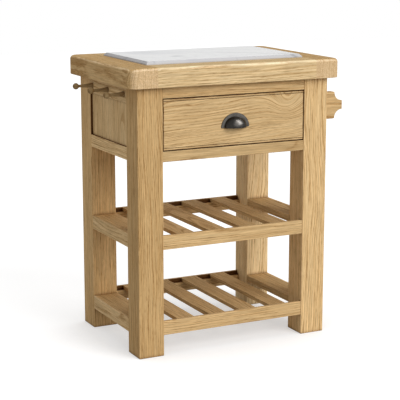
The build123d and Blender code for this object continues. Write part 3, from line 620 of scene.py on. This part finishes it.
# %% Cut an oak board
OILED_SHEEN = 0.04
EASED_EDGE = 0.0004
END_SHADE = colour(0.74, 0.68, 0.60)
WORN_SHADE = colour(1.11, 1.12, 1.14)
BLUE_PER_RED = 1.6
AXES = {"x": (1.0, 0.0, 0.0), "y": (0.0, 1.0, 0.0), "z": (0.0, 0.0, 1.0)}


def toned(tone, warmth):
    """A tone as a colour: warmth adds red, and takes away more blue than that."""
    return colour(tone * (1 + warmth), tone, tone * (1 - BLUE_PER_RED * warmth))


def oak_board(node, grain, heart, tone=1.0, slide=0.0, warmth=0.0, slope=0.0, edge_box=None,
              rounding=EASED_EDGE, end_shade=END_SHADE, edge_wear_and_painted_light=WORN_SHADE, knot=None,
              sheen=OILED_SHEEN):
    """Oak on one solid; slide tells how far along the trunk it was cut."""
    low, high = edge_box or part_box(node)
    material, b, shader = new_material("oak_" + node)
    shader.inputs["Specular IOR Level"].default_value = sheen
    place = b.add("TexCoord").outputs
    point = place["Object"]
    lines = round_the_knot(b, point, knot) if knot else point
    wood = b.tree.nodes.new("ShaderNodeGroup")
    wood.node_tree = oak_figure
    inputs = {
        "Board point": in_the_trunk(b, node, lines, grain, heart, slide, slope),
        "Solid point": point,
        "Middle": (low + high) / 2,
        "Half size": (high - low) / 2,
        "Rounding": rounding,
        "End grain": b.maths("ABSOLUTE", b.vector("DOT_PRODUCT", place["Normal"], AXES[grain])),
        "Open": openness(b, node),
        "Painted recess shade": recess_shade_in(b, point, node),
        "Tone": toned(tone, warmth),
        "End shade": end_shade,
        "Edge wear and painted light": edge_wear_and_painted_light,
    }
    for key, value in inputs.items():
        b.put(wood.inputs[key], value)
    for socket, result in (("Base Color", "Colour"), ("Roughness", "Roughness"), ("Normal", "Normal")):
        b.put(shader.inputs[socket], wood.outputs[result])
    dress(node, material)


print("boards can be cut")

# %% [markdown]
# ## Picking boards from the stack
# A maker picks boards that go together but aren't alike. Random numbers do the same, and a fixed
# seed makes every run of this lesson pick the same boards. They say how far along the trunk a
# board was cut, and for many boards also where the heart lay and how light the wood is.

# %% Pick places and tones
BOARD_SEED = 11
TRUNK_LENGTH = 9
FAR_HEART = (0.12, 0.2)
pick = random.Random(BOARD_SEED)


def some_slide():
    return pick.uniform(0, TRUNK_LENGTH)


def straight_heart():
    """A heart far off at a slant, for straight lines on both faces."""
    return tuple(pick.choice((-1, 1)) * pick.uniform(*FAR_HEART) for _ in range(2))


def heart_within(beside, above):
    """A heart somewhere between the given limits, for a board with arches."""
    return (pick.uniform(*beside), pick.uniform(*above))


def some_tone(level=1.0, spread=0.05):
    return level * pick.uniform(1.0 - spread, 1.0 + spread)


print("picking with seed", BOARD_SEED)

# %% [markdown]
# ## The worktop
# The worktop is a frame: its left and right members run from front to back and show their ends on the
# front face, and the front and back members sit between them. It is rounded over as one piece, so all
# four share one box for their edges, where a pale band is partly wear and partly a painted highlight
# of the light on the rounding. That box reaches lower than the wood, so that the edges underneath get
# no band. Seen at a flat angle, the top would mirror the white room, so its sheen is lower still.

# %% Dress the worktop
WORKTOP = [f"worktop_{side}_rail" for side in ("left", "right", "front", "back")]
TOP_BOX = joint_box(WORKTOP)
TOP_BOX_DROP = 0.03
TOP_BOX[0].z -= TOP_BOX_DROP
# Painted highlight: the pale band along the top edges stands in for light caught by the rounding, on
# top of some wear.
TOP_WEAR_AND_HIGHLIGHT = {
    "edge_box": TOP_BOX,
    "rounding": 0.0035,
    "edge_wear_and_painted_light": colour(1.50, 1.65, 2.00),
    "sheen": 0.01,
}
SIDE_MEMBER_HEART = (0.17, 0.03)
SIDE_MEMBER_LOOK = {"tone": 0.92, "warmth": 0.02, "end_shade": colour(1.13, 1.20, 1.42)}
CROSS_MEMBER_HEART = (0.13, -0.07)
# Painted sheen: the cross members' paler, cooler tone is partly their own and partly the sheen on the
# front face.
CROSS_MEMBER_LOOK = {"tone": 1.20, "warmth": -0.075, "slope": 0.02}
for side in ("left", "right"):
    oak_board(f"worktop_{side}_rail", "y", SIDE_MEMBER_HEART, slide=some_slide(),
              **SIDE_MEMBER_LOOK, **TOP_WEAR_AND_HIGHLIGHT)
for side in ("front", "back"):
    oak_board(f"worktop_{side}_rail", "x", CROSS_MEMBER_HEART, slide=some_slide(),
              **CROSS_MEMBER_LOOK, **TOP_WEAR_AND_HIGHLIGHT)
print("worktop dressed:", WORKTOP)

# %% [markdown]
# ## The legs
# Legs are cut at a slant to the heart, so that both faces that show have straight grain, and
# straight grain is the strongest. Each leg comes from another stick, so each has its own tone and
# warmth here.

# %% Dress the legs
LEG_TONES = {
    "front_left": (0.83, 0.05),
    "front_right": (1.16, -0.01),
    "back_left": (0.97, 0.03),
    "back_right": (1.45, -0.09),
}
for leg, (tone, warmth) in LEG_TONES.items():
    oak_board("leg_" + leg, "z", straight_heart(), tone, some_slide(), warmth)
print("legs dressed:", len(LEG_TONES))

# %% [markdown]
# ## The rails
# Rails tie the legs together round the drawer and round each shelf. Some run across the island and
# some from front to back, and the grain always runs along the rail, because across the grain wood
# breaks. A few have a tone of their own; the rest differ by chance.

# %% Dress the rails
CROSS_RAILS = ["front_top_rail", "drawer_rail", "back_top_rail", "back_bottom_rail"]
SIDE_RAILS = ["peg_rail", "right_top_rail", "left_bottom_rail", "right_bottom_rail"]
for shelf in SHELVES:
    CROSS_RAILS += [f"{shelf}_front_rail", f"{shelf}_back_rail"]
    SIDE_RAILS += [f"{shelf}_left_rail", f"{shelf}_right_rail"]
RAIL_HEART = ((0.05, 0.1), (-0.06, 0.06))
CROSS_RAIL_TONE = 1.02
SIDE_RAIL_TONE = 1.04
COOLER = -0.02
ODD_TONES = {"drawer_rail": 0.86, "left_bottom_rail": 1.22}
for rail in CROSS_RAILS:
    oak_board(rail, "x", heart_within(*RAIL_HEART),
              some_tone(ODD_TONES.get(rail, CROSS_RAIL_TONE)), some_slide())
for rail in SIDE_RAILS:
    oak_board(rail, "y", heart_within(*RAIL_HEART),
              some_tone(ODD_TONES.get(rail, SIDE_RAIL_TONE)), some_slide(), COOLER)
print("rails dressed:", len(CROSS_RAILS), "across and", len(SIDE_RAILS), "from front to back")

# %% [markdown]
# ## The panels
# Panels close the case at the sides and the back. They stand upright in grooves and aren't glued,
# so that they can swell and shrink. They are wide boards cut flat, which gives arches.

# %% Dress the panels
SIDE_PANEL_TONES = {"left_panel": 1.12, "right_panel": 1.04}
SIDE_PANEL_ABOVE = 0.09
SIDE_PANEL_BESIDE = 0.12
BACK_PANEL_HEART = (0.09, 0.05)
for panel, tone in SIDE_PANEL_TONES.items():
    heart = (pick.uniform(-SIDE_PANEL_BESIDE, SIDE_PANEL_BESIDE), SIDE_PANEL_ABOVE)
    oak_board(panel, "z", heart, some_tone(tone), some_slide(), COOLER)
oak_board("back_panel", "z", BACK_PANEL_HEART, some_tone(), some_slide())
print("panels dressed:", len(SIDE_PANEL_TONES) + 1)

# %% [markdown]
# ## The shelves
# Each shelf has four slats with gaps for air between them, and a wider, thicker board between the
# legs at either end. All of them run from front to back. They are a shade darker and warmer than
# the frame, and they vary more, as such narrow stock does.

# %% Dress the shelf boards
SHELF_BOARDS = SLATS + ["left_end_board", "right_end_board"]
SLAT_HEART = ((-0.08, 0.08), (0.04, 0.1))
SLAT_TONE = 0.89
SLAT_SPREAD = 0.08
SLAT_WARMTH = 0.03
for shelf in SHELVES:
    for board in SHELF_BOARDS:
        oak_board(f"{shelf}_{board}", "y", heart_within(*SLAT_HEART),
                  some_tone(SLAT_TONE, SLAT_SPREAD), some_slide(), SLAT_WARMTH)
for board in SHELF_BOARDS[-2:]:
    board_low, board_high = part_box(f"{SHELVES[0]}_{board}")
    print(board, [round(v / MM, 1) for v in board_high - board_low], "mm")
board_low, board_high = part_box(f"{SHELVES[0]}_{SLATS[0]}")
print(SLATS[0], [round(v / MM, 1) for v in board_high - board_low], "mm")

# %% [markdown]
# ## The drawer front
# The drawer front is the show board. It is cut nearly flat, so its lines sweep over the face, and near
# one corner they close in an arch, as grain does beside a knot. Its narrow edges get painted shade,
# darker than the face, so that the shadow in the gap round the closed drawer shows as a thin dark
# line.

# %% Dress the drawer front
FRONT_HEART = (0.095, -0.075)
# Painted shade along the edges, for the shadow in the gap round the drawer.
FRONT_EDGE_PAINTED_SHADE = colour(0.24, 0.15, 0.10)
KNOT_PLACE = Vector((0.185, -0.222, 0.770))
KNOT_REACH = 0.050
KNOT_PUSH = 0.055
oak_board("drawer_front", "x", FRONT_HEART, slide=3.3, warmth=-0.015, slope=0.07,
          edge_wear_and_painted_light=FRONT_EDGE_PAINTED_SHADE, knot=(KNOT_PLACE, KNOT_REACH, KNOT_PUSH))
print("lines make way within", round(KNOT_REACH / MM), "mm of", [round(v, 3) for v in KNOT_PLACE])

# %% [markdown]
# ## Inside the case
# The drawer box, the runners that carry it, the kickers that keep it level, and the board under
# the stone are plain planed oak, a little paler than the outside. Little of them shows while the
# drawer is closed, so straight stock will do. They are dressed all the same, as it can be pulled
# out.

# %% Dress the drawer box and its guides
BOX_GRAIN = {
    "drawer_side_left": "y",
    "drawer_side_right": "y",
    "drawer_bottom": "y",
    "drawer_back": "x",
}
BOX_TONE = 1.12
BOX_SPREAD = 0.03
GUIDE_TONE = 1.05
for board, grain in BOX_GRAIN.items():
    oak_board(board, grain, straight_heart(), some_tone(BOX_TONE, BOX_SPREAD), some_slide())
for side in ("left", "right"):
    for guide in ("runner", "kicker"):
        oak_board(f"drawer_{guide}_{side}", "y", straight_heart(), GUIDE_TONE, some_slide())
oak_board("stone_bed", "x", straight_heart(), GUIDE_TONE, slide=1.0)
print("drawer box dressed:", list(BOX_GRAIN))

# %% [markdown]
# ## Pegs and towel rail
# The pegs on the left are turned on a lathe from darker stock, and their grain runs along them. On
# the right two brackets, sawn to a profile, carry a rod for a towel, and hidden dowels hold them.
# Such small things come out of one stick, so the pegs share a tone, and the towel rail another.

# %% Dress the pegs and the towel rail
PEG_COUNT = 3
PEG_TONE = 0.54
PEG_BESIDE = 0.05
PEG_STEP = 0.02
PEG_SLIDE = 0.4
for number in range(1, PEG_COUNT + 1):
    peg_heart = (PEG_BESIDE, PEG_STEP * number)
    oak_board(f"peg_{number}", "x", peg_heart, PEG_TONE, PEG_SLIDE * number)
TOWEL_GRAIN = {
    "towel_bracket_front": "x",
    "towel_bracket_back": "x",
    "towel_rod": "y",
    "towel_bracket_dowels": "x",
}
TOWEL_HEART = (0.09, 0.03)
TOWEL_TONE = 0.97
for board, grain in TOWEL_GRAIN.items():
    oak_board(board, grain, TOWEL_HEART, TOWEL_TONE, some_slide())
print("oak materials:", sum(material.name.startswith("oak_") for material in bpy.data.materials))

# %% [markdown]
# ## The ground of the marble
# White marble is a pale ground with soft grey clouds. They lie at a slant through the slab and
# drift like smoke, because the rock was once hot and soft. So the space is twisted by a noise,
# turned and stretched, and clouds and veins are drawn in it, with their waves counted there. A
# picture of a slab would break off at the edge, and wouldn't go on over the bevel.

# %% Slant the stone and cloud it
STONE_TWIST_WAVES = 5.0
STONE_TWIST = (0.10, 0.10, 0.10)
STONE_TURN = (0.0, 0.2, 0.62)
STONE_STRETCH = (2.6, 7.0, 7.0)
STONE_WHITE = colour(0.95, 0.95, 0.945)
STONE_CLOUD = colour(0.78, 0.79, 0.81)
STONE_CLOUD_WAVES = 0.9
STONE_CLOUD_BAND = (0.48, 0.78)

marble, stone, stone_shader = new_material("white_marble")
stone_place = stone.add("TexCoord").outputs
stone_point = stone_place["Object"]
twist = stone.drift(stone_point, STONE_TWIST_WAVES, STONE_TWIST)
twisted = stone.vector("ADD", stone_point, twist)
turned = stone.add("Mapping", {"Vector": twisted, "Rotation": STONE_TURN}).outputs[0]
slanted = stone.vector("MULTIPLY", turned, STONE_STRETCH)
stone_clouds = stone.noise(slanted, STONE_CLOUD_WAVES, detail=4.0)
stone_shade = stone.tint(stone.between(stone_clouds, *STONE_CLOUD_BAND), STONE_WHITE, STONE_CLOUD)
print("marble ground:", len(marble.node_tree.nodes), "nodes")

# %% [markdown]
# ## Veins
# A vein is where two kinds of stone met, so it runs on and on and never ends in a dot. The middle
# value of a noise is such a line, and a narrow band about it is the vein. There are wide and fine
# ones, and a slower noise lets them fade and come back, as they do in a real slab.

# %% Draw the veins
STONE_VEIN = colour(0.42, 0.43, 0.46)
VEIN_KINDS = (
    {"waves": 0.8, "width": 0.020, "shift": (0.0, 0.0, 0.0), "strength": 0.9},
    {"waves": 2.1, "width": 0.016, "shift": (4.0, 0.0, 0.0), "strength": 0.35},
)
FADE_WAVES = 1.7
FADE_BAND = (0.35, 0.65)
VEIN_STRENGTH = 0.6
GRAIN_WAVES = 600.0
GRAIN_BAND = (0.4, 0.7, 0.0, 0.04)

fade = stone.between(stone.noise(slanted, FADE_WAVES), *FADE_BAND)
veins = []
for kind in VEIN_KINDS:
    shifted = stone.vector("ADD", slanted, kind["shift"])
    wave = stone.noise(shifted, kind["waves"], detail=3.0, roughness=0.45)
    from_middle = stone.maths("ABSOLUTE", stone.maths("SUBTRACT", wave, NOISE_MIDDLE))
    line = stone.between(from_middle, kind["width"], 0.0)
    veins.append(stone.times(line, stone.times(fade, kind["strength"])))
vein = stone.maths("MAXIMUM", *veins)
stone_grain = stone.noise(stone_point, GRAIN_WAVES)
stone_shade = stone.tint(stone.times(vein, VEIN_STRENGTH), stone_shade, STONE_VEIN)
grain_amount = stone.between(stone_grain, *GRAIN_BAND, smooth=False)
stone_shade = stone.tint(grain_amount, stone_shade, STONE_CLOUD)
print("veins drawn:", len(veins), "kinds")

# %% [markdown]
# ## Polish
# The top is polished to a soft shine, a touch duller over the veins, where the stone is softer.
# The slanted edge is only honed, so it is rougher, and its colour is greyed as painted shade. The
# slant of the surface tells them apart, so no edge has to be picked by hand.

# %% Polish the marble
# Painted shade: the slanted bevel is greyed.
BEVEL_PAINTED_SHADE = colour(0.64, 0.64, 0.66)
BEVEL_BAND = (0.95, 0.80)
STONE_SHEEN = 0.08
POLISHED_ROUGHNESS = 0.42
VEIN_ROUGHER = 0.12
HONED_ROUGHER = 0.2
STONE_BUMP = 0.05
STONE_DEPTH = 0.0002

on_bevel = stone.between(stone.parts(stone_place["Normal"])[2], *BEVEL_BAND)
stone_rough = stone.plus(POLISHED_ROUGHNESS, stone.times(vein, VEIN_ROUGHER))
stone_rough = stone.plus(stone_rough, stone.times(on_bevel, HONED_ROUGHER))
stone.put(stone_shader.inputs["Base Color"], stone.multiply_colour(on_bevel, stone_shade, BEVEL_PAINTED_SHADE))
stone.put(stone_shader.inputs["Roughness"], stone_rough)
stone.put(stone_shader.inputs["Normal"], stone.bump(stone_grain, STONE_BUMP, STONE_DEPTH))
stone_shader.inputs["Specular IOR Level"].default_value = STONE_SHEEN
dress("marble_inset", marble)
print("marble dressed:", len(marble.node_tree.nodes), "nodes")

# %% [markdown]
# ## Aged bronze
# The cup handle is cast and then blackened. The black wears off where fingers go, so a lighter
# brown grey shows in patches, and the cast skin is slightly uneven. One even dark colour would
# look like plastic, so a noise spreads the patches, and they change the gloss as well.

# %% Blacken the bronze
BRONZE_BLACK = colour(0.024, 0.022, 0.020)
BRONZE_WORN = colour(0.046, 0.041, 0.036)
BRONZE_METAL = 0.9
PATCH_WAVES = 70.0
PATCH_BAND = (0.46, 0.85)
PATCH_ROUGHNESS = (0.3, 0.7, 0.27, 0.33)
SKIN_WAVES = 900.0
SKIN_BUMP = 0.12
SKIN_DEPTH = 0.0003

aged_bronze, bronze, bronze_shader = new_material("aged_bronze")
bronze_place = bronze.add("TexCoord").outputs
patches = bronze.noise(bronze_place["Object"], PATCH_WAVES, detail=5.0, roughness=0.6)
bronze_shade = bronze.tint(bronze.between(patches, *PATCH_BAND), BRONZE_BLACK, BRONZE_WORN)
bronze_rough = bronze.between(patches, *PATCH_ROUGHNESS, smooth=False)
skin = bronze.noise(bronze_place["Object"], SKIN_WAVES, detail=3.0)
bronze.put(bronze_shader.inputs["Normal"], bronze.bump(skin, SKIN_BUMP, SKIN_DEPTH))
bronze_shader.inputs["Metallic"].default_value = BRONZE_METAL
print("bronze skin:", len(aged_bronze.node_tree.nodes), "nodes")

# %% [markdown]
# ## The rim of the cup
# The flat rim that lies on the drawer is duller than the bowl, and lighter, partly from rubbing and
# partly as a painted reflection of the bright room. It could be a solid of its own, but the real
# handle is one casting. So the material finds the rim: it is the part next to the drawer that faces
# the front.

# %% Lighten the rim and dress the handle
# The rim's lighter colour is partly rubbed metal and partly a painted reflection.
BRONZE_RIM_WEAR_AND_GLINT = colour(0.082, 0.076, 0.068)
RIM_REACH = 0.0027
RIM_BLUR = 0.0002
RIM_FACING = (-0.5, -0.8)
RIM_BAND = (0.40, 0.70)
RIM_ROUGHER = 0.16

rim_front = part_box("cup_handle")[1].y - RIM_REACH
depth = bronze.parts(bronze_place["Object"])[1]
facing = bronze.parts(bronze_place["Normal"])[1]
next_to_drawer = bronze.between(depth, rim_front - RIM_BLUR, rim_front)
rim = bronze.times(next_to_drawer, bronze.between(facing, *RIM_FACING))
rim_wear_and_glint = bronze.tint(bronze.between(patches, *RIM_BAND), BRONZE_RIM_WEAR_AND_GLINT, BRONZE_WORN)
bronze_rough = bronze.plus(bronze_rough, bronze.times(rim, RIM_ROUGHER))
bronze.put(bronze_shader.inputs["Base Color"], bronze.tint(rim, bronze_shade, rim_wear_and_glint))
bronze.put(bronze_shader.inputs["Roughness"], bronze_rough)
dress("cup_handle", aged_bronze)
print("rim from y =", round(rim_front, 4), "to", round(rim_front + RIM_REACH, 4))

# %% [markdown]
# ## Zinc
# The screws are zinc plated steel, bright and a little streaky from the turning. Little of them
# shows, and only inside the drawer and from below, so one short material does for all.

# %% Make the zinc
ZINC_LIGHT = colour(0.62, 0.62, 0.61)
ZINC_DARK = colour(0.42, 0.42, 0.43)
TURNING_WAVES = (300.0, 300.0, 4000.0)
TURNING_BAND = (0.35, 0.65)
TURNING_ROUGHNESS = (0.3, 0.7, 0.28, 0.42)
TURNING_BUMP = 0.1
TURNING_DEPTH = 0.0001

zinc_plated, zinc, zinc_shader = new_material("zinc_plated_steel")
turning = zinc.noise(zinc.add("TexCoord").outputs["Object"], TURNING_WAVES)
zinc_shade = zinc.tint(zinc.between(turning, *TURNING_BAND), ZINC_DARK, ZINC_LIGHT)
zinc.put(zinc_shader.inputs["Base Color"], zinc_shade)
zinc.put(zinc_shader.inputs["Roughness"], zinc.between(turning, *TURNING_ROUGHNESS, smooth=False))
zinc.put(zinc_shader.inputs["Normal"], zinc.bump(turning, TURNING_BUMP, TURNING_DEPTH))
zinc_shader.inputs["Metallic"].default_value = 1.0
for screws in ("handle_screws", "top_screws"):
    dress(screws, zinc_plated)
print("solids dressed:", len(dressed), "of", len(nodes))

# %% [markdown]
# ## White where it is seen
# Behind a catalogue picture everything is white. Strong lamps would make it so, but they would
# bleach the oak too. So floor and room have one level for the light that they send on to the
# island, and another for the camera's own rays and for reflections. The Light Path node tells them
# apart.

# %% Tell rays that see from rays that light
def seen_directly(b):
    """One for the camera's own rays and for reflections, nothing for light on the object."""
    path = b.add("LightPath").outputs
    seen = b.maths("MAXIMUM", path["Is Camera Ray"], path["Is Glossy Ray"])
    return b.maths("MAXIMUM", seen, path["Is Transmission Ray"])


print("direct rays can be told apart")

# %% [markdown]
# ## The floor
# A studio floor is a white sheet that runs out of the picture. Here it is plain white paper that
# takes the island's shadow, with a glow on top where it is seen. Near the feet the glow gives way,
# so that a soft pool of shadow holds the island to the floor.

# %% Lay the floor
FLOOR_HALF = 9.0
FLOOR_WHITE = colour(0.60, 0.60, 0.60)
FLOOR_GLOW = 0.675
POOL_REACH = 0.46
POOL_BAND = (0.97, 0.45)
POOL_DEPTH = 0.27

white_paper, paper = empty_material("white_paper")
sheet = paper.add("BsdfDiffuse", {"Color": FLOOR_WHITE})
near_feet = paper.add("AmbientOcclusion", {"Distance": POOL_REACH}).outputs["AO"]
pool = paper.between(near_feet, *POOL_BAND, 1.0, 1.0 - POOL_DEPTH)
glow_level = paper.times(paper.times(seen_directly(paper), FLOOR_GLOW), pool)
glow = paper.add("Emission", {"Strength": glow_level})
both = paper.add("AddShader", {0: sheet.outputs[0], 1: glow.outputs[0]})
paper.put(paper.add("OutputMaterial").inputs["Surface"], both.outputs[0])

turns = ((-1, -1), (1, -1), (1, 1), (-1, 1))
corners = [(x * FLOOR_HALF, y * FLOOR_HALF, 0) for x, y in turns]
floor_mesh = bpy.data.meshes.new("floor")
floor_mesh.from_pydata(corners, [], [(0, 1, 2, 3)])
floor_mesh.materials.append(white_paper)
floor = bpy.data.objects.new("floor", floor_mesh)
bpy.context.scene.collection.objects.link(floor)
print("floor of", 2 * FLOOR_HALF, "by", 2 * FLOOR_HALF, "m")

# %% [markdown]
# ## The room
# In a white studio light comes from everywhere. A ring of large lamps could do that, but they
# would show as spots in every gloss. The background of the world is even all round, so it stands
# in for the room: one calm level that lights, and plain white where it is seen.

# %% Light the room
ROOM_LEVEL = 0.505
ROOM_WHITE = colour(1.0, 1.0, 1.0)

room = bpy.data.worlds.new("room")
bpy.context.scene.world = room
room.use_nodes = True
room.node_tree.nodes.clear()
air = Bench(room.node_tree)
room_level = air.between(seen_directly(air), 0.0, 1.0, ROOM_LEVEL, 1.0, smooth=False)
background = air.add("Background", {"Color": ROOM_WHITE, "Strength": room_level})
air.put(air.add("OutputWorld").inputs["Surface"], background.outputs[0])
print("room level", ROOM_LEVEL)

# %% [markdown]
# ## The key light
# Even light alone makes wood look flat. The key light stands at the front on the right, wide and
# soft, so the front is bright and the left side calmly darker. A sun lamp with a wide angle gives
# such soft shadows, and lights near and far parts alike.

# %% Set the key light
KEY_LEVEL = 1.91
KEY_SPREAD = math.radians(42)
KEY_FROM = Vector((0.38, -0.90, 0.50))

key_lamp = bpy.data.lights.new("key", "SUN")
key_lamp.energy = KEY_LEVEL
key_lamp.angle = KEY_SPREAD
key = bpy.data.objects.new("key", key_lamp)
key.rotation_mode = "QUATERNION"
key.rotation_quaternion = KEY_FROM.to_track_quat("Z", "Y")
bpy.context.scene.collection.objects.link(key)
key_slant = KEY_FROM.angle(Vector((0.0, 0.0, 1.0)))
print("key light", round(math.degrees(key_slant)), "degrees from straight above")

# %% [markdown]
# ## A softbox for the handle
# A dark handle needs something bright to mirror, or it looks like a hole. So a softbox hangs at
# the front, where the curve of the cup picks it up as one soft highlight. On a real set black
# flags keep it off all else. Here light linking does that, and the lamp gives gloss only.

# %% Hang the softbox
SOFTBOX_LEVEL = 190.0
SOFTBOX_SIZE = (1.1, 1.8)
SOFTBOX_PLACE = Vector((1.75, -1.75, 2.55))
SOFTBOX_AIM = Vector((0.0, -0.24, 0.714))

softbox_lamp = bpy.data.lights.new("softbox", "AREA")
softbox_lamp.shape = "RECTANGLE"
softbox_lamp.size, softbox_lamp.size_y = SOFTBOX_SIZE
softbox_lamp.energy = SOFTBOX_LEVEL
softbox = bpy.data.objects.new("softbox", softbox_lamp)
softbox.location = SOFTBOX_PLACE
softbox.rotation_mode = "QUATERNION"
softbox.rotation_quaternion = (SOFTBOX_PLACE - SOFTBOX_AIM).to_track_quat("Z", "Y")
softbox.visible_diffuse = False
softbox.visible_camera = False
lit_by_softbox = bpy.data.collections.new("lit by the softbox")
lit_by_softbox.objects.link(nodes["cup_handle"])
softbox.light_linking.receiver_collection = lit_by_softbox
bpy.context.scene.collection.objects.link(softbox)
print("softbox", round((SOFTBOX_PLACE - SOFTBOX_AIM).length, 2), "m from the handle")

# %% [markdown]
# ## The view
# Blender can bend the tones of a picture as film does. Here each colour should come out about as
# it was written, or white paper would turn grey, so the plain view is chosen.

# %% Choose the view
view = bpy.context.scene.view_settings
view.view_transform = "Standard"
print("view:", view.view_transform)

# %% [markdown]
